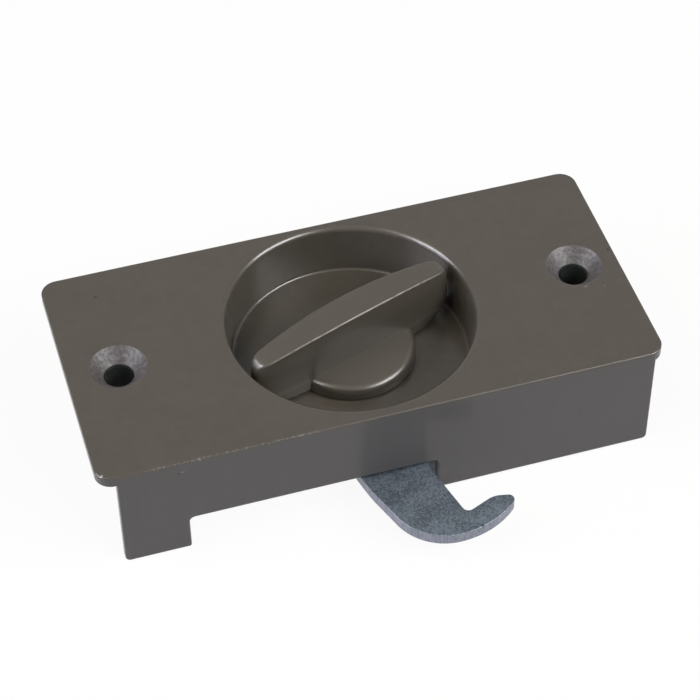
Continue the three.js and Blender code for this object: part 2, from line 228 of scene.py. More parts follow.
class Wire:  # an output socket that adds, scales and compares like a number
    def __init__(self, tree, socket=None):
        self.tree = tree
        self.socket = socket

    def node(self, kind, settings={}, inputs={}, output=0):
        made = self.tree.nodes.new(kind)
        for name, value in settings.items():
            if name == "stops":
                for i, (place, colour) in enumerate(value):
                    stop = made.color_ramp.elements[i] if i < 2 else made.color_ramp.elements.new(place)
                    stop.position = place
                    stop.color = (*colour, 1)
            else:
                setattr(made, name, value)
        for name, value in inputs.items():
            if isinstance(value, Wire):
                self.tree.links.new(value.socket, made.inputs[name])
            else:
                made.inputs[name].default_value = value
        return Wire(self.tree, made.outputs[output] if made.outputs else None)

    def math(self, operation, *values):
        return self.node("ShaderNodeMath", {"operation": operation}, dict(enumerate(values)))

    def __add__(self, other):
        return self.math("ADD", self, other)

    def __radd__(self, other):
        return self.math("ADD", other, self)

    def __sub__(self, other):
        return self.math("SUBTRACT", self, other)

    def __rsub__(self, other):
        return self.math("SUBTRACT", other, self)

    def __mul__(self, other):
        return self.math("MULTIPLY", self, other)

    def __rmul__(self, other):
        return self.math("MULTIPLY", other, self)

    def __truediv__(self, other):
        return self.math("DIVIDE", self, other)

    def size(self):
        return self.math("ABSOLUTE", self)

    def rise(self, start, end):  # 0 up to start, 1 from end on, soft between; start may be the larger
        return self.node("ShaderNodeMapRange", {"interpolation_type": "SMOOTHSTEP"},
                         {"Value": self, "From Min": start, "From Max": end})


def newMaterial(name):
    material = bpy.data.materials.new(name)
    material.use_nodes = True
    material.node_tree.nodes.clear()
    return material, Wire(material.node_tree)


def coordinates(wire):
    place = wire.node("ShaderNodeTexCoord", output="Object")
    axes = [wire.node("ShaderNodeSeparateXYZ", inputs={"Vector": place}, output=i) for i in range(3)]
    return place, axes


def noise(wire, place, grain, detail=2, roughness=0.5, stretch=None):  # grain is the size of a lump
    if stretch:
        place = wire.node("ShaderNodeMapping", inputs={"Vector": place, "Scale": stretch})
    return wire.node("ShaderNodeTexNoise", inputs={
        "Vector": place, "Scale": 1 / grain, "Detail": detail, "Roughness": roughness})


def mixColours(wire, share, first, second, blend="MIX"):
    first = first if isinstance(first, Wire) else (*first, 1)
    second = second if isinstance(second, Wire) else (*second, 1)
    return wire.node("ShaderNodeMix", {"data_type": "RGBA", "blend_type": blend},
                     {0: share, 6: first, 7: second}, output=2)


def bumped(wire, height, depth, strength=1.0):
    return wire.node("ShaderNodeBump", inputs={
        "Height": height, "Distance": depth, "Strength": strength})


def finishMaterial(wire, sockets):
    surface = wire.node("ShaderNodeBsdfPrincipled", inputs=sockets)
    wire.node("ShaderNodeOutputMaterial", inputs={"Surface": surface})


# Bronze paint on the case

casePaint = {
    "colour": (0.0780, 0.0688, 0.0566),
    "darkColour": (0.0690, 0.0612, 0.0505),
    "lumps": 9 * mm,
    "cloud": 2.2 * mm,
    "peel": 0.5 * mm,
    "peelDepth": 0.005 * mm,
    "roughness": 0.23,
    "dullRoughness": 0.26,
    "gloss": 0.3,
    "paintedCoolLightColour": (0.0710, 0.0680, 0.0690),  # painted cool light: a cooler tint than the plate on the outsides of both long walls, for bluish light that the lamps don't give
    "coolLightTop": (-0.3 * mm, -0.7 * mm),  # below the plate's top, where the painted cool light fades in
    "frontFade": (2.3 * mm, 1.9 * mm),  # behind the plate's front edge, where it fades in
    "backFade": (-1.4 * mm, -1.1 * mm),  # from the plate's back edge
    "pitColour": (0.012, 0.012, 0.012),
    "grit": 0.35 * mm,
    "sinkRoughness": 0.56,
    # the sinks are mottled between a darker tone and a pale lilac one; the pale lilac is painted sheen
    "sinkDark": (0.042, 0.037, 0.033),
    "sinkPaleSheen": (0.100, 0.090, 0.097),
    "sinkMottle": 0.7 * mm,
    "sinkFloor": (-3.2 * mm, -2.6 * mm),  # below the plate's top, where the sinks' mottle, painted sheen and rougher finish end
    # painted shade: near black with a slight green cast, for the shade deep in the bores
    "boreShadeColour": (0.026, 0.030, 0.028),
    "bareZinc": (0.34, 0.33, 0.31),
    "wearSpan": (-41.6 * mm, -12.3 * mm),  # the stretch of the plate's front edge that is rubbed
    "wearWidth": 0.42 * mm,
    "wearFade": 2 * mm,
    "wearShare": 0.38,
    "wearGrain": 0.55 * mm,
    "drips": (1.4 * mm, 6),  # width of the vertical streaks on the walls, and how many times longer they are
}

paintChips = (  # place and half sizes in mm, turn in degrees, and how bare it is
    ((-49.75, -14.8, 22.5), (0.26, 0.20, 0.4), 20, 1.0),
    ((47.4, 9.0, 22.6), (0.34, 0.22, 0.4), 60, 0.6),
    ((45.5, 7.3, 22.4), (0.60, 0.26, 0.5), 15, 0.2),
    ((42.9, 3.0, 22.7), (0.34, 0.12, 0.3), 0, 0.6),
    ((46.1, 2.1, 22.7), (0.12, 0.28, 0.3), 0, 0.2),
    ((-36.3, -15.85, 20.2), (0.34, 0.50, 0.16), 12, 0.22),
    ((-35.5, -15.85, 20.6), (0.26, 0.50, 0.12), 12, 0.16),
    ((-33.2, -15.85, 22.5), (0.24, 0.50, 0.20), 0, 0.45),
    ((-9.3, 28.3, 22.6), (0.32, 0.20, 0.4), 35, 0.5),
    ((22.5, 7.8, 12.9), (0.5, 0.6, 0.12), 10, 0.3),
    ((22.4, 6.0, 15.6), (0.5, 0.12, 0.8), 0, 0.25),
)

darkPits = (
    ((-41.7, 26.3, 22.7), (0.30, 0.20, 0.3), 0, 0.7),
    ((50.0, 10.6, 22.6), (0.22, 0.22, 0.3), 0, 0.8),
    ((46.7, 9.6, 22.6), (0.34, 0.20, 0.4), 60, 0.8),
    ((-36.9, -15.85, 20.0), (0.45, 0.5, 0.12), 0, 0.4),
)


def markMask(wire, place, marks, ragged):  # 1 inside any of a few oval marks, with ragged edges
    total = None
    for centre, halfSizes, turn, share in marks:
        local = wire.node("ShaderNodeMapping", {"vector_type": "TEXTURE"}, {
            "Vector": place, "Location": [mm * c for c in centre],
            "Rotation": (0, 0, math.radians(turn)), "Scale": [mm * size for size in halfSizes]})
        away = wire.node("ShaderNodeVectorMath", {"operation": "LENGTH"}, {0: local}, output=1)
        mask = (away + ragged).rise(1.15, 0.75) * share
        total = mask if total is None else wire.math("MAXIMUM", total, mask)
    return total


def makeCasePaint():
    material, wire = newMaterial("casePaint")
    place, (x, y, z) = coordinates(wire)
    lumps = noise(wire, place, casePaint["lumps"], 3)
    cloud = noise(wire, place, casePaint["cloud"], 3, 0.6)
    fine = noise(wire, place, casePaint["peel"], 2, 0.6)
    width, length = casePaint["drips"]
    drips = noise(wire, place, width, 3, 0.6, stretch=(1, 1, 1 / length))
    grit = noise(wire, place, casePaint["grit"], 3, 0.7)
    shade = (lumps * 0.25 + cloud * 0.2 + drips * 0.2 + grit * 0.35).rise(0.38, 0.62)
    colour = mixColours(wire, shade, casePaint["darkColour"], casePaint["colour"])
    # painted cool light: the outsides of the long walls are tinted cooler, streaked by the drips and grit
    paintedCoolLightShare = (z - plateTop).rise(*casePaint["coolLightTop"]) * wire.math(
        "MAXIMUM", (y - caseLow.y).rise(*casePaint["frontFade"]), (y - caseHigh.y).rise(*casePaint["backFade"]))
    colour = mixColours(wire, paintedCoolLightShare * (0.2 + drips * 0.7 + grit * 0.7), colour, casePaint["paintedCoolLightColour"])
    ragged = (cloud - 0.5) * 1.2 + (fine - 0.5) * 1.2
    pits = markMask(wire, place, darkPits, ragged)
    colour = mixColours(wire, pits, colour, casePaint["pitColour"])
    start, end = casePaint["wearSpan"]
    rubbed = ((y - caseLow.y).rise(casePaint["wearWidth"], 0) * (z - plateTop).rise(-casePaint["wearWidth"], 0)
              * (x - start).rise(-casePaint["wearFade"], 0) * (x - end).rise(casePaint["wearFade"], 0))
    specks = noise(wire, place, casePaint["wearGrain"], 4, 0.7).rise(0.50, 0.60)
    chips = markMask(wire, place, paintChips, ragged)
    bare = wire.math("MAXIMUM", rubbed * specks * casePaint["wearShare"], chips)
    colour = mixColours(wire, bare, colour, casePaint["bareZinc"])
    bores = sinks = None
    for side in (-1, 1):
        across = wire.node("ShaderNodeVectorMath", {"operation": "LENGTH"}, {0: wire.node(
            "ShaderNodeMapping", {"vector_type": "TEXTURE"}, {
                "Vector": place, "Location": (spindle.x + side * caseCasting["holeReach"], spindle.y, 0),
                "Scale": (1, 1, 1e6)})}, output=1)
        bore = (across / caseCasting["holeRadius"]).rise(1.06, 1.02)
        sink = (across / caseCasting["sinkRadius"]).rise(1.05, 0.95)
        bores, sinks = (bore, sink) if bores is None else (bores + bore, sinks + sink)
    sinks = sinks * (z - plateTop).rise(*casePaint["sinkFloor"])
    # mottled tone in the sinks, its pale lilac part painted sheen
    mottle = noise(wire, place, casePaint["sinkMottle"], 4, 0.7).rise(0.38, 0.62)
    colour = mixColours(wire, sinks, colour, mixColours(wire, mottle, casePaint["sinkDark"], casePaint["sinkPaleSheen"]))
    # painted shade inside the bores
    colour = mixColours(wire, bores, colour, casePaint["boreShadeColour"])
    roughness = casePaint["roughness"] + (casePaint["dullRoughness"] - casePaint["roughness"]) * (
        wire.math("MAXIMUM", cloud.rise(0.4, 0.8), bare))
    roughness = roughness + (casePaint["sinkRoughness"] - casePaint["roughness"]) * sinks * (1.15 - mottle * 0.3)
    normal = bumped(wire, fine, casePaint["peelDepth"])
    finishMaterial(wire, {
        "Base Color": colour, "Roughness": roughness, "Normal": normal, "Specular IOR Level": casePaint["gloss"]})
    return material


# Bronze paint on the thumb turn

turnPaint = {
    "colour": (0.0760, 0.0670, 0.0545),
    "darkColour": (0.0720, 0.0635, 0.0520),
    "paintedShadeColour": (0.0590, 0.0520, 0.0425),  # painted shade, darker on the blade's sides and the hub's rim
    "shadeHubFade": (0.15 * mm, 0.7 * mm),  # above and below the hub's top, where the painted shade fades in
    "bladeFade": (-2.8 * mm, -5.5 * mm),  # below the blade's top
    "lumps": 6 * mm,
    "cloud": 1.6 * mm,
    "peel": 0.5 * mm,
    "peelDepth": 0.002 * mm,
    "roughness": 0.285,  # a lower one leaves light specks on the turn once denoised
    "dullRoughness": 0.32,
    "gloss": 0.3,
}


def makeTurnPaint():
    material, wire = newMaterial("turnPaint")
    place, (x, y, z) = coordinates(wire)
    lumps = noise(wire, place, turnPaint["lumps"], 3)
    cloud = noise(wire, place, turnPaint["cloud"], 3, 0.6)
    fine = noise(wire, place, turnPaint["peel"], 2, 0.6)
    colour = mixColours(wire, (lumps * 0.6 + cloud * 0.4).rise(0.35, 0.65),
                        turnPaint["darkColour"], turnPaint["colour"])
    # painted shade: the blade's sides and the hub's rim are coloured darker than the rest of the turn
    paintedShadeShare = (z - turnCasting["hubTop"]).size().rise(*turnPaint["shadeHubFade"]) * (
        z - turnHigh.z).rise(*turnPaint["bladeFade"])
    colour = mixColours(wire, paintedShadeShare, colour, turnPaint["paintedShadeColour"])
    roughness = turnPaint["roughness"] + (
        turnPaint["dullRoughness"] - turnPaint["roughness"]) * cloud.rise(0.4, 0.7)
    finishMaterial(wire, {
        "Base Color": colour, "Roughness": roughness,
        "Normal": bumped(wire, fine, turnPaint["peelDepth"]),
        "Specular IOR Level": turnPaint["gloss"]})
    return material


# Dull zinc plate, brighter where the sheet was sheared

zincPlate = {
    "colour": (0.112, 0.136, 0.162),
    "darkColour": (0.040, 0.051, 0.065),
    "speckColour": (0.21, 0.24, 0.27),
    "shearColour": (0.26, 0.27, 0.325),
    "shearDark": (0.15, 0.165, 0.205),
    "mottle": 0.45 * mm,
    "patches": 4 * mm,
    "specks": 0.3 * mm,
    "shearGrain": 0.35 * mm,
    "metallic": 0.6,
    "roughness": 0.50,
    "shearRoughness": 0.40,
    "grainDepth": 0.012 * mm,
    "nickColour": (0.03, 0.03, 0.035),
}

zincNicks = (
    ((12.0, -31.75, 7.2), (0.30, 0.30, 0.4), 20, 0.9),
    ((12.9, -31.4, 7.2), (0.16, 0.20, 0.4), 20, 0.7),
    ((11.2, -31.95, 7.1), (0.14, 0.20, 0.3), 10, 0.5),
    ((15.0, -30.3, 7.2), (0.14, 0.16, 0.4), 35, 0.5),
    ((-2.2, -30.6, 7.2), (0.16, 0.14, 0.3), -30, 0.45),
    ((4.45, -32.45, 6.7), (0.34, 0.3, 0.26), 0, 0.95),
)


def makeZincPlate():
    material, wire = newMaterial("zincPlate")
    place = wire.node("ShaderNodeTexCoord", output="Object")
    sheared = wire.node("ShaderNodeAttribute", {"attribute_name": "sheared"}, output=2)  # 0 on other pieces
    mottle = noise(wire, place, zincPlate["mottle"], 5, 0.75)
    patches = noise(wire, place, zincPlate["patches"], 3)
    specks = noise(wire, place, zincPlate["specks"], 2, 0.5)
    flat = mixColours(wire, (mottle * 0.75 + patches * 0.25).rise(0.40, 0.60),
                      zincPlate["darkColour"], zincPlate["colour"])
    flat = mixColours(wire, specks.rise(0.66, 0.74) * 0.6, flat, zincPlate["speckColour"])
    streaks = noise(wire, place, zincPlate["shearGrain"], 3, 0.6, stretch=(1, 1, 0.12))
    side = mixColours(wire, (streaks * 0.5 + mottle * 0.5).rise(0.38, 0.62),
                      zincPlate["shearDark"], zincPlate["shearColour"])
    colour = mixColours(wire, sheared, flat, side)
    nicks = markMask(wire, place, zincNicks, (specks - 0.5) * 1.2)
    colour = mixColours(wire, nicks, colour, zincPlate["nickColour"])
    roughness = zincPlate["roughness"] + (zincPlate["shearRoughness"] - zincPlate["roughness"]) * sheared
    finishMaterial(wire, {
        "Base Color": colour, "Metallic": zincPlate["metallic"], "Roughness": roughness,
        "Normal": bumped(wire, mottle, zincPlate["grainDepth"])})
    return material


# Spring steel

springSteel = {
    "colour": (0.30, 0.31, 0.32),
    "darkColour": (0.20, 0.21, 0.22),
    "scratches": 0.4 * mm,
    "stains": 2.5 * mm,
    "roughness": 0.30,
    "dullRoughness": 0.42,
    "grainDepth": 0.004 * mm,
}


def makeSpringSteel():
    material, wire = newMaterial("springSteel")
    place = wire.node("ShaderNodeTexCoord", output="Object")
    scratches = noise(wire, place, springSteel["scratches"], 3, 0.7)
    stains = noise(wire, place, springSteel["stains"], 3)
    colour = mixColours(wire, (scratches * 0.5 + stains * 0.5).rise(0.35, 0.65),
                        springSteel["darkColour"], springSteel["colour"])
    roughness = springSteel["roughness"] + (
        springSteel["dullRoughness"] - springSteel["roughness"]) * stains.rise(0.4, 0.65)
    finishMaterial(wire, {
        "Base Color": colour, "Metallic": 1.0, "Roughness": roughness,
        "Normal": bumped(wire, scratches, springSteel["grainDepth"])})
    return material


# Case: one die casting

caseCasting = {
    "plateThick": 2 * mm,
    "plateCorner": 3 * mm,
    "plateRound": 0.25 * mm,
    "recessDepth": 10 * mm,
    "recessTop": 22.1 * mm,
    "recessFloor": 21.5 * mm,
    "rimRound": 1.2 * mm,
    "floorRound": 0.6 * mm,
    "cupWall": 1.2 * mm,
    "cupFloor": 2 * mm,
    "cupRound": 0.8 * mm,
    "seatRadius": 9.5 * mm,
    "seatHeight": 0.3 * mm,
    "bearingRadius": 7 * mm,
    "bearingDepth": 2.6 * mm,
    "boreRadius": 4.2 * mm,
    "wallThick": 2 * mm,
    "wallRound": 0.45 * mm,
    "wallCorner": 0.9 * mm,
    "frontInset": 0.1 * mm,
    "frontLeft": 48.1 * mm,
    "frontRight": 48.5 * mm,
    "notchLeft": 36.25 * mm,
    "notchRight": 8.7 * mm,
    "notchTop": 7.6 * mm,
    "notchRound": 1 * mm,
    "backInset": 0.8 * mm,
    "backEnd": 46 * mm,
    "holeReach": 42.15 * mm,
    "holeRadius": 2.65 * mm,
    "sinkRadius": 5.05 * mm,
    "sinkRound": 0.18 * mm,
    "bossRadius": 5.3 * mm,
    "bossDepth": 12.6 * mm,
    "ribThick": 1.8 * mm,
    "ribDepth": 8 * mm,
    "postRadius": 1.6 * mm,
    "postRing": 11 * mm,
    "postEnd": 4.4 * mm,
    "postTurns": (125.5, -15.5),
    "overrun": 1 * mm,
    "circleSteps": 160,
    "smallSteps": 64,
    "postSteps": 32,
    "sharpAngle": 50,  # corners of the walls sharper than this are rounded
}


def makePlate(c):
    low = plateTop - c["plateThick"]
    plate = addBlock("plate", (caseLow.x, caseLow.y, low), (caseHigh.x, caseHigh.y, plateTop))
    roundEdges(plate, lambda a, b: abs(a.z - b.z) > c["overrun"], c["plateCorner"], 10)
    roundEdges(plate, lambda a, b: min(a.z, b.z) > low + c["overrun"], c["plateRound"], 5)
    return plate


def makeRecess(c):
    floor = plateTop - c["recessDepth"]
    rim = c["recessTop"] + c["rimRound"]
    foot = c["recessFloor"] - c["floorRound"]
    profile = [(0, floor)]
    profile += arcPoints(foot, floor + c["floorRound"], c["floorRound"], -quarter, 0, 8)
    profile += arcPoints(rim, plateTop - c["rimRound"], c["rimRound"], math.pi, quarter, 8)
    profile += [(rim, plateTop + c["overrun"]), (0, plateTop + c["overrun"])]
    return turnedPiece("recess", profile, spindle, c["circleSteps"])


def makeCup(c):
    radius = c["recessTop"] + c["cupWall"]
    bottom = plateTop - c["recessDepth"] - c["cupFloor"]
    face = bottom - c["bearingDepth"]
    profile = [(0, face), (c["bearingRadius"], face), (c["bearingRadius"], bottom)]
    profile += arcPoints(radius - c["cupRound"], bottom + c["cupRound"], c["cupRound"], -quarter, 0, 6)
    profile += [(radius, plateTop - c["plateThick"] / 2), (0, plateTop - c["plateThick"] / 2)]
    return turnedPiece("cup", profile, spindle, c["circleSteps"])


def makeFrontWall(c):
    front = caseLow.y + c["frontInset"]
    top = plateTop - c["plateThick"] / 2
    left, right = spindle.x - c["frontLeft"], spindle.x + c["frontRight"]
    wall = addBlock("front_wall", (left, front, caseLow.z), (right, front + c["wallThick"], top))
    notch = addBlock(
        "notch",
        (spindle.x - c["notchLeft"], front - c["overrun"], caseLow.z - c["overrun"]),
        (spindle.x + c["notchRight"], front + c["wallThick"] + c["overrun"], c["notchTop"]))
    roundEdges(notch, lambda a, b: min(a.z, b.z) > caseLow.z and abs(a.y - b.y) > c["overrun"],
               c["notchRound"], 5)
    combine(wall, notch, "DIFFERENCE")
    roundEdges(wall, lambda a, b: max(a.z, b.z) < c["overrun"] and abs(a.y - b.y) > c["overrun"]
               and (min(a.x, b.x) < left + c["overrun"] or max(a.x, b.x) > right - c["overrun"]),
               c["wallCorner"], 5)
    return modify(wall, "BEVEL", width=c["wallRound"], segments=3, limit_method="ANGLE",
                  angle_limit=math.radians(c["sharpAngle"]), use_clamp_overlap=False)


def makeBackWall(c):
    back = caseHigh.y - c["backInset"]
    top = plateTop - c["plateThick"] / 2
    wall = addBlock(
        "back_wall",
        (spindle.x - c["backEnd"], back - c["wallThick"], caseLow.z),
        (spindle.x + c["backEnd"], back, top))
    roundEdges(wall, lambda a, b: max(a.z, b.z) < c["overrun"] and abs(a.y - b.y) > c["overrun"],
               c["wallCorner"], 5)
    return modify(wall, "BEVEL", width=c["wallRound"], segments=3, limit_method="ANGLE",
                  angle_limit=math.radians(c["sharpAngle"]), use_clamp_overlap=False)


def makeBoss(c, side):
    centre = spindle.x + side * c["holeReach"]
    low = plateTop - c["plateThick"]
    top = plateTop - c["plateThick"] / 2
    boss = addPost("boss", centre, spindle.y, c["bossRadius"], low - c["bossDepth"], top, c["smallSteps"])
    cupSide = spindle.x + side * (c["recessTop"] + c["cupWall"] / 2)
    rib = addBlock(
        "rib",
        (min(centre, cupSide), spindle.y - c["ribThick"] / 2, low - c["ribDepth"]),
        (max(centre, cupSide), spindle.y + c["ribThick"] / 2, top))
    return combine(boss, rib, "UNION")


def makeHole(c, side):
    bottom = plateTop - c["plateThick"] - c["bossDepth"] - c["overrun"]
    sink = plateTop - c["sinkRadius"] + c["holeRadius"]
    profile = roundedPath([
        (0, bottom), (c["holeRadius"], bottom), (c["holeRadius"], sink, c["sinkRound"]),
        (c["sinkRadius"], plateTop, c["sinkRound"]),
        (c["sinkRadius"] + c["overrun"], plateTop), (c["sinkRadius"] + c["overrun"], plateTop + c["overrun"]),
        (0, plateTop + c["overrun"])])
    centre = Vector((spindle.x + side * c["holeReach"], spindle.y, 0))
    return turnedPiece("hole", profile, centre, c["smallSteps"])


def makeCase(material):
    c = caseCasting
    body = makePlate(c)
    for part in (makeCup(c), makeFrontWall(c), makeBackWall(c), makeBoss(c, -1), makeBoss(c, 1)):
        combine(body, part, "UNION")
    for turn in c["postTurns"]:
        x = spindle.x + c["postRing"] * math.cos(math.radians(turn))
        y = spindle.y + c["postRing"] * math.sin(math.radians(turn))
        top = plateTop - c["recessDepth"] - c["cupFloor"] / 2
        combine(body, addPost("post", x, y, c["postRadius"], c["postEnd"], top, c["postSteps"]), "UNION")
    for cutter in (makeRecess(c), makeHole(c, -1), makeHole(c, 1)):
        combine(body, cutter, "DIFFERENCE")
    floor = plateTop - c["recessDepth"]
    seat = addPost("seat", spindle.x, spindle.y, c["seatRadius"], floor - c["overrun"],
                   floor + c["seatHeight"], c["smallSteps"])
    combine(body, seat, "UNION")
    bore = addPost("bore", spindle.x, spindle.y, c["boreRadius"], caseLow.z, plateTop, c["smallSteps"])
    combine(body, bore, "DIFFERENCE")
    smoothPiece(body)
    placePiece(body, "case_casting", caseBody, "case_paint", material, "case")


# Thumb turn: one die casting, a crowned blade across a round hub

turnCasting = {
    "bladeTurn": 19.5,
    "bladeLength": 20.55 * mm,  # half lengths and half widths, at the top of the blade
    "bladeWidth": 2.95 * mm,
    "bladeEndWidth": 1.65 * mm,
    "noseReach": 2.4 * mm,
    "noseTip": 0.2 * mm,
    "crown": 1.95 * mm,
    "topCorner": 1.8 * mm,
    "footCorner": 6.9 * mm,
    "draft": 4.3,
    "voxel": 0.2 * mm,
    "softness": 20,
    "hubRadius": 11.65 * mm,
    "hubBottom": 13.1 * mm,
    "hubTop": 15.7 * mm,
    "hubRound": 1.4 * mm,
    "hubBack": 0.84,  # behind the blade the hub has this share of its depth in front
    "spindleRadius": 4 * mm,
    "squareHalf": 2.8 * mm,
    "shoulderGap": 0.1 * mm,  # between the spindle's round part and the hook
    "screwHole": 1.95 * mm,
    "screwDepth": 7 * mm,
    "overrun": 1 * mm,
    "profileReach": 8 * mm,
    "archEnd": 3.5 * mm,  # the crown's points stop this far from the blade's ends
    "straightSteps": 24,
    "noseSteps": 8,
    "archSteps": 28,
    "circleSteps": 128,
    "spindleSteps": 64,
    "screwSteps": 32,
}


def archDrop(along, halfSpan, rise):  # how far a shallow arch has dropped from its top
    radius = (halfSpan ** 2 + rise ** 2) / (2 * rise)
    return radius - math.sqrt(radius ** 2 - along ** 2)


def bladeOutline(t, height):  # the blade from above at a height, wider below by the draft
    length = t["bladeLength"]
    spread = math.tan(math.radians(t["draft"])) * (turnHigh.z - height)
    straight = length - t["noseReach"]
    places = [straight * (2 * i / t["straightSteps"] - 1) for i in range(t["straightSteps"] + 1)]
    nose = [straight + t["noseReach"] * math.sin(quarter * (i + 1) / t["noseSteps"])
            for i in range(t["noseSteps"])]
    right = []
    for along in [-place for place in reversed(nose)] + places + nose:
        into = max(0, abs(along) - straight) / t["noseReach"]
        across = t["bladeWidth"] - archDrop(along, length, t["bladeWidth"] - t["bladeEndWidth"])
        across -= (t["bladeEndWidth"] - t["noseTip"]) * (1 - math.sqrt(max(0, 1 - into ** 2)))
        right.append((along * (1 + spread / length), across + spread, height))
    return right + [(x, -y, z) for x, y, z in reversed(right)]


def makeBlade(t):
    low, high = t["hubBottom"] - t["overrun"], turnHigh.z + t["overrun"]
    blade = drawPath("blade", bladeOutline(t, low), closed=True)
    upper = drawPath("blade_upper", bladeOutline(t, high), closed=True)
    bpy.ops.object.mode_set(mode="OBJECT")
    activate(blade)
    upper.select_set(True)
    bpy.ops.object.join()
    editMesh(blade, "EDGE")
    bpy.ops.mesh.select_all(action="SELECT")
    bpy.ops.mesh.delete(type="ONLY_FACE")
    bpy.ops.mesh.select_all(action="SELECT")
    bpy.ops.mesh.bridge_edge_loops()
    bpy.ops.mesh.select_all(action="SELECT")
    bpy.ops.mesh.fill_holes(sides=0)
    bpy.ops.mesh.select_all(action="SELECT")
    bpy.ops.mesh.normals_make_consistent(inside=False)
    bpy.ops.object.mode_set(mode="OBJECT")
    length, slope = t["bladeLength"], math.tan(math.radians(t["draft"]))
    shoulder = turnHigh.z - t["crown"]
    arch = [(x, turnHigh.z - archDrop(x, length, t["crown"])) for x in
            [(length - t["archEnd"]) * (2 * i / t["archSteps"] - 1) for i in range(t["archSteps"] + 1)]]
    endTop = length + slope * t["crown"]
    endFoot = length + slope * (turnHigh.z - t["hubBottom"])
    side = roundedPath([
        (-endTop, shoulder, t["topCorner"]), *arch, (endTop, shoulder, t["topCorner"]),
        (endFoot, t["hubBottom"], t["footCorner"]), (-endFoot, t["hubBottom"], t["footCorner"])], 10)
    reach = t["profileReach"]
    profile = drawPath("side", [(x, -reach, z) for x, z in side], closed=True)
    bpy.ops.mesh.select_all(action="SELECT")
    bpy.ops.mesh.edge_face_add()
    bpy.ops.mesh.extrude_region_move(TRANSFORM_OT_translate={"value": (0, 2 * reach, 0)})
    bpy.ops.mesh.select_all(action="SELECT")
    bpy.ops.mesh.normals_make_consistent(inside=False)
    bpy.ops.object.mode_set(mode="OBJECT")
    combine(blade, profile, "INTERSECT")
    modify(blade, "REMESH", mode="VOXEL", voxel_size=t["voxel"])
    return modify(blade, "SMOOTH", factor=0.5, iterations=t["softness"])


def makeTurn(material):
    t = turnCasting
    profile = [(0, t["hubBottom"]), (t["hubRadius"], t["hubBottom"])]
    profile += arcPoints(t["hubRadius"] - t["hubRound"], t["hubTop"] - t["hubRound"], t["hubRound"], 0, quarter, 10)
    profile += [(0, t["hubTop"])]
    turn = turnedPiece("turn", profile, Vector((0, 0, 0)), t["circleSteps"])
    editMesh(turn, "VERT")
    mesh = bmesh.from_edit_mesh(turn.data)
    for vertex in mesh.verts:
        vertex.select_set(vertex.co.y > 0)
    bmesh.update_edit_mesh(turn.data)
    bpy.ops.transform.resize(value=(1, t["hubBack"], 1), center_override=(0, 0, 0))
    bpy.ops.object.mode_set(mode="OBJECT")
    combine(turn, makeBlade(t), "UNION")
    shoulder = hookHigh.z + t["shoulderGap"]
    inside = (t["hubBottom"] + t["hubTop"]) / 2
    combine(turn, addPost("spindle", 0, 0, t["spindleRadius"], shoulder, inside, t["spindleSteps"]), "UNION")
    half = t["squareHalf"]
    combine(turn, addBlock("spindle_square", (-half, -half, turnLow.z), (half, half, inside)), "UNION")
    combine(turn, addPost("screw_hole", 0, 0, t["screwHole"], turnLow.z - t["overrun"],
                          turnLow.z + t["screwDepth"], t["screwSteps"]), "DIFFERENCE")
    activate(turn)
    turn.rotation_euler.z = math.radians(t["bladeTurn"])
    turn.location = (spindle.x, spindle.y, 0)
    bpy.ops.object.transform_apply(location=True, rotation=True, scale=True)
    smoothPiece(turn, 35)
    placePiece(turn, "turn_casting", turnBody, "turn_paint", material, "thumb_turn")


# Hook: stamped from plate, rounded where the punch pulled the skin in

hookStamping = {
    "hubRadius": 8.5 * mm,
    "tailTurn": 100,
    "tailReach": 12.4 * mm,
    "tailHalf": 3 * mm,
    "tailRound": 0.7 * mm,
    "armHalf": 7 * mm,
    "bendRadius": 60 * mm,
    "bendStart": 10.5 * mm,
    "bendEnd": 28.5 * mm,
    "stepY": 26.2 * mm,
    "stepRound": 2 * mm,
    "heel": (7.5 * mm, 31 * mm, 10.15 * mm),
    "beakRadius": 16.2 * mm,
    "beakTurn": 42,
    "tip": (19.4 * mm, 35.55 * mm, 1 * mm),
    "shoulder": (15.4 * mm, 34.7 * mm, 4 * mm),
    "throat": (9.75 * mm, 37 * mm, 1.1 * mm),
    "squareHalf": 2.95 * mm,
    "squareTurn": 19.5,
    "topRound": 0.12 * mm,
    "bottomRound": 0.3 * mm,
    "overrun": 1 * mm,
    "shearedBelow": 0.6,  # a face was sheared where its normal rises or falls by less than this
}


def hookOutline(h):
    armMeet = math.acos(h["armHalf"] / h["hubRadius"])
    tailMeet = math.asin(h["tailHalf"] / h["hubRadius"])
    tail = math.radians(h["tailTurn"])
    along, across = (math.cos(tail), math.sin(tail)), (-math.sin(tail), math.cos(tail))
    corner = [(h["tailReach"] * along[0] + side * h["tailHalf"] * across[0],
               h["tailReach"] * along[1] + side * h["tailHalf"] * across[1], h["tailRound"])
              for side in (-1, 1)]
    bend = math.pi + math.asin((h["bendEnd"] - h["bendStart"]) / h["bendRadius"])
    heelX, heelY, heelRadius = h["heel"]
    beak = 3 * quarter + math.radians(h["beakTurn"])
    return roundedPath([
        *arcPoints(0, 0, h["hubRadius"], -armMeet, tail - tailMeet, 20),
        *corner,
        *arcPoints(0, 0, h["hubRadius"], tail + tailMeet, math.pi + armMeet, 20),
        *arcPoints(h["bendRadius"] - h["armHalf"], -h["bendStart"], h["bendRadius"], math.pi, bend, 12),
        *arcPoints(heelX, -heelY, heelRadius, bend, 3 * quarter, 24)[1:],
        *arcPoints(heelX, h["beakRadius"] - heelRadius - heelY, h["beakRadius"], 3 * quarter, beak, 24)[1:],
        (h["tip"][0], -h["tip"][1], h["tip"][2]),
        (h["shoulder"][0], -h["shoulder"][1], h["shoulder"][2]),
        (h["throat"][0], -h["throat"][1], h["throat"][2]),
        (h["armHalf"], -h["stepY"], h["stepRound"]),
    ])


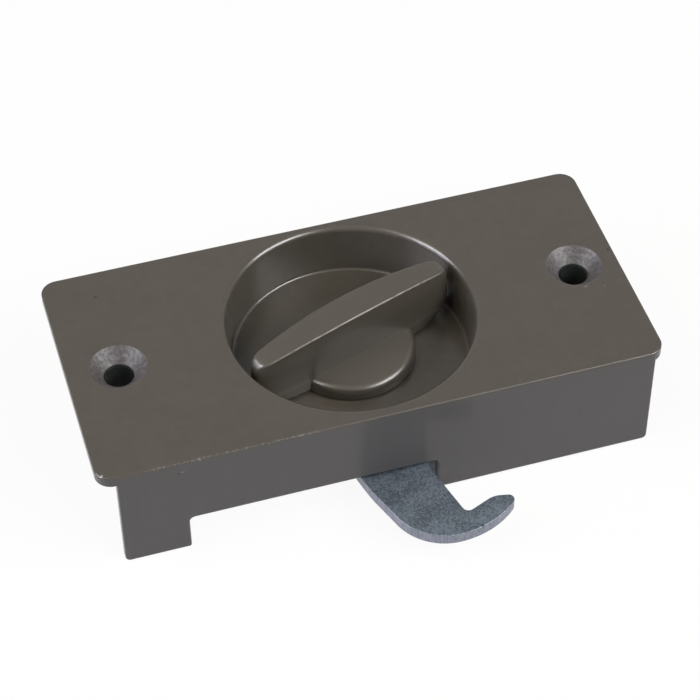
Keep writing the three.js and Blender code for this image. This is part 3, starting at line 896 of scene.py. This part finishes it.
def makeHook(material):
    h = hookStamping
    outline = [(spindle.x + x, spindle.y + y) for x, y in hookOutline(h)]
    hook = stampedPiece("hook_plate", outline, hookLow.z, hookHigh.z)
    nearly = 0.01 * mm
    roundEdges(hook, lambda a, b: min(a.z, b.z) > hookHigh.z - nearly, h["topRound"], 3)
    roundEdges(hook, lambda a, b: max(a.z, b.z) < hookLow.z + nearly, h["bottomRound"], 4)
    square = addBlock(
        "square",
        (-h["squareHalf"], -h["squareHalf"], hookLow.z - h["overrun"]),
        (h["squareHalf"], h["squareHalf"], hookHigh.z + h["overrun"]))
    square.rotation_euler.z = math.radians(h["squareTurn"])
    square.location = (spindle.x, spindle.y, 0)
    activate(square)
    bpy.ops.object.transform_apply(location=True, rotation=True, scale=True)
    combine(hook, square, "DIFFERENCE")
    smoothPiece(hook)
    sheared = hook.data.attributes.new("sheared", "FLOAT", "FACE")
    for face in hook.data.polygons:
        sheared.data[face.index].value = 1 if abs(face.normal.z) < h["shearedBelow"] else 0
    placePiece(hook, "hook_stamping", turnBody, "zinc_plate", material, "hook")


# Floor, lights and camera

studio = {
    "floorSize": 4.0,
    "floorColour": (0.85, 0.85, 0.85),
    "shadowShare": 0.07,
    "worldColour": (0.93, 0.96, 1.0),
    "worldStrength": 0.02,
    # soft edge of the painted shadow patch on the floor
    "shadowPatchEdge": 1.5 * mm,
    "floorGap": 0.05 * mm,
}

softboxes = {  # azimuth from the front towards the right, elevation, width, height, power, colour
    "keyRight": (46, 41, 0.84, 0.24, 7.0, (1.0, 0.98, 0.96)),
    "keyLeft": (-88, 41, 0.74, 0.22, 1.6, (0.75, 0.90, 1.0)),
    "highLeft": (-92, 62, 0.60, 0.30, 2.8, (1.0, 0.84, 0.62)),
    "highRight": (48, 62, 0.60, 0.30, 0.6, (0.80, 0.90, 1.0)),
    "lowLeft": (-90, 18, 0.45, 0.45, 5.8, (0.80, 0.80, 1.0)),
    "lowRight": (60, 18, 0.60, 0.30, 0.5, (0.85, 0.90, 1.0)),
}

glints = {  # strips that only the gloss of the paint and the metal shows
    "glintRight": (54, 43, 0.54, 0.45, 16.0, (0.97, 0.97, 1.0)),
    "glintLeft": (-95, 42, 0.52, 0.34, 13.0, (0.97, 0.98, 1.0)),
}
softboxDistance = 0.9

cameraView = {
    "place": (-80.53 * mm, -267.785 * mm, 322.69 * mm),
    "target": (-1.954 * mm, 0.522 * mm, 22.7 * mm),
    "roll": -0.606,
    "lens": 120.80,
    "sensor": 36,
}


def addSoftbox(name, azimuth, elevation, width, height, power, colour):
    a, e = math.radians(azimuth), math.radians(elevation)
    direction = Vector((math.sin(a) * math.cos(e), -math.cos(a) * math.cos(e), math.sin(e)))
    deselectAll()
    bpy.ops.object.light_add(type="AREA", location=direction * softboxDistance)
    light = bpy.context.object
    light.name = name
    light.rotation_euler = (-direction).to_track_quat("-Z", "Y").to_euler()
    light.data.shape = "RECTANGLE"
    light.data.size = width
    light.data.size_y = height
    light.data.energy = power
    light.data.color = colour
    return light


def seenDirectly(wire):  # 1 where the camera, gloss or glass sees the studio, 0 for its light
    camera = wire.node("ShaderNodeLightPath", output="Is Camera Ray")
    gloss = wire.node("ShaderNodeLightPath", output="Is Glossy Ray")
    glass = wire.node("ShaderNodeLightPath", output="Is Transmission Ray")
    return camera.math("MAXIMUM", camera.math("MAXIMUM", camera, gloss), glass)


def addFloor():
    deselectAll()
    bpy.ops.mesh.primitive_plane_add(size=studio["floorSize"], location=(0, 0, caseLow.z - studio["floorGap"]))
    floor = bpy.context.object
    floor.name = "floor"
    bpy.ops.object.transform_apply(location=True, rotation=True, scale=True)
    material, wire = newMaterial("paleFloor")
    paper = wire.node("ShaderNodeBsdfDiffuse", inputs={"Color": (*studio["floorColour"], 1)})
    glow = wire.node("ShaderNodeEmission", inputs={"Strength": 1.0})
    place, (x, y, z) = coordinates(wire)
    soft = studio["shadowPatchEdge"]  # painted shadow: under the right half of the case only, the floor's glow is taken off by position, so the paper shows dark there
    paintedShadowPatch = ((x - spindle.x).rise(soft, 2 * soft) * (x - caseHigh.x).rise(-2 * soft, -3 * soft)
              * (y - caseLow.y).rise(0, soft) * (y - caseHigh.y).rise(-soft, -2 * soft))
    surface = wire.node("ShaderNodeMixShader", inputs={
        0: seenDirectly(wire) * (1 - studio["shadowShare"]) * (1 - paintedShadowPatch), 1: paper, 2: glow})
    wire.node("ShaderNodeOutputMaterial", inputs={"Surface": surface})
    floor.data.materials.append(material)


def setWorld():
    world = bpy.data.worlds.new("studio")
    bpy.context.scene.world = world
    world.use_nodes = True
    world.node_tree.nodes.clear()
    wire = Wire(world.node_tree)
    room = wire.node("ShaderNodeBackground", inputs={
        "Color": (*studio["worldColour"], 1), "Strength": studio["worldStrength"]})
    white = wire.node("ShaderNodeBackground", inputs={"Color": (1, 1, 1, 1), "Strength": 1.0})
    surface = wire.node("ShaderNodeMixShader", inputs={0: seenDirectly(wire), 1: room, 2: white})
    wire.node("ShaderNodeOutputWorld", inputs={"Surface": surface})


def addCamera():
    place, target = Vector(cameraView["place"]), Vector(cameraView["target"])
    deselectAll()
    bpy.ops.object.camera_add(location=place)
    camera = bpy.context.object
    aim = (target - place).to_track_quat("-Z", "Y")
    roll = Quaternion((0, 0, 1), math.radians(cameraView["roll"]))
    camera.rotation_euler = (aim @ roll).to_euler()
    camera.data.lens = cameraView["lens"]
    camera.data.sensor_width = cameraView["sensor"]
    bpy.context.scene.camera = camera


addCamera()
addFloor()
setWorld()
for softboxName, softboxValues in softboxes.items():
    addSoftbox(softboxName, *softboxValues)
for glintName, glintValues in glints.items():
    glint = addSoftbox(glintName, *glintValues)
    glint.visible_diffuse = False
    glint.data.cycles.max_bounces = 1
bpy.context.scene.view_settings.view_transform = "Standard"
print("stage set")

caseMaterial = makeCasePaint()
turnMaterial = makeTurnPaint()
zincMaterial = makeZincPlate()
steelMaterial = makeSpringSteel()
print("finishes made")

makeCase(caseMaterial)
print("case made")
makeTurn(turnMaterial)
print("thumb turn made")
makeHook(zincMaterial)
print("hook made")

for node, material in (("wave_washer", steelMaterial), ("lock_washer", steelMaterial),
                       ("flat_washer", zincMaterial), ("hook_screw", zincMaterial)):
    frame["nodes"][node].data.materials.clear()
    frame["nodes"][node].data.materials.append(material)
